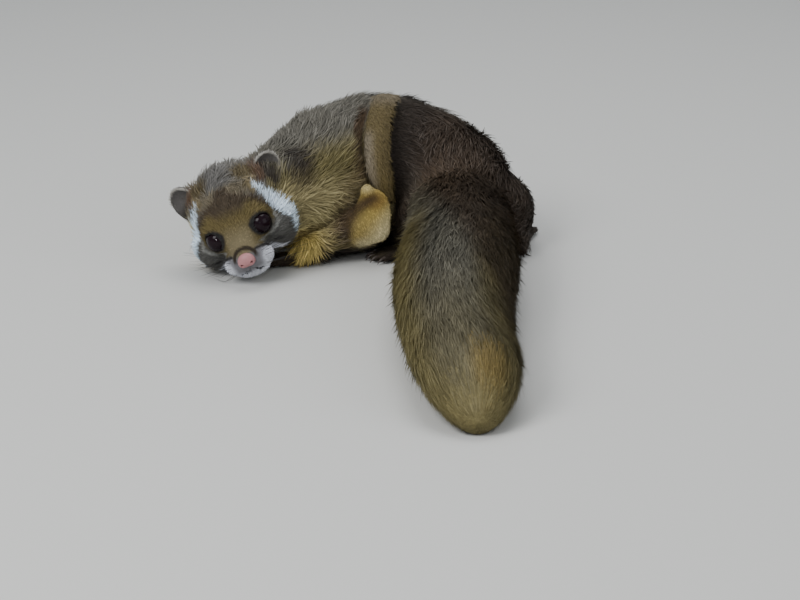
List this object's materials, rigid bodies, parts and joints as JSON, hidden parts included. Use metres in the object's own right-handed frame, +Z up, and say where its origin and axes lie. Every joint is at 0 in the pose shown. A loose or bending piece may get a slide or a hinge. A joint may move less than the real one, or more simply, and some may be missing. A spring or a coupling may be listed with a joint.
{
  "type": "flying squirrel model",
  "caption": "Life-size still model of a giant flying squirrel curled up at rest, chin on the floor, bushy tail laid out in front.",
  "frame": {"origin": "on the floor, at the centre of the flat under the belly", "axes": "+Z up; the head is at -X and looks along -Y, and the tail lies along -Y at +X"},
  "size_m": [0.2692, 0.4644, 0.1144],
  "materials": {
    "agouti_fur": "dense grizzled olive-grey fur with pale tips",
    "ochre_fur": "soft yellow-ochre fur",
    "umber_fur": "short dark brown fur",
    "face_fur": "short face fur with pale cheek stripes",
    "membrane_fur": "short buff fur on folded skin",
    "tail_fur": "long bushy olive fur",
    "ear_skin": "thin grey skin with fine hair",
    "nose_skin": "bare pink skin, slightly moist",
    "eye_dark": "wet, nearly black",
    "claw_horn": "dark horn, satin"
  },
  "bodies": {
    "root": {"neck": "agouti_fur", "chest": "agouti_fur", "loin": "agouti_fur", "rump": "umber_fur", "head": "face_fur", "eye_left": "eye_dark", "eye_right": "eye_dark", "nose": "nose_skin", "ear_left": "ear_skin", "ear_right": "ear_skin", "foreleg_left_upper": "ochre_fur", "foreleg_left_forearm": "ochre_fur", "foreleg_right_upper": "ochre_fur", "foreleg_right_forearm": "ochre_fur", "hindleg_left_thigh": "umber_fur", "hindleg_left_shank": "umber_fur", "hindleg_right_thigh": "umber_fur", "hindleg_right_shank": "umber_fur", "foreleg_left_hand": "umber_fur", "foreleg_right_hand": "umber_fur", "hindleg_left_foot": "umber_fur", "hindleg_right_foot": "umber_fur", "patagium_left_band": "membrane_fur", "patagium_left_lobe": "membrane_fur", "patagium_right_front": "membrane_fur", "patagium_right_middle": "membrane_fur", "patagium_right_rear": "membrane_fur", "tail_root": "tail_fur", "tail_middle": "tail_fur", "tail_far": "tail_fur", "tail_tip": "tail_fur"}
  },
  "joints": []
}
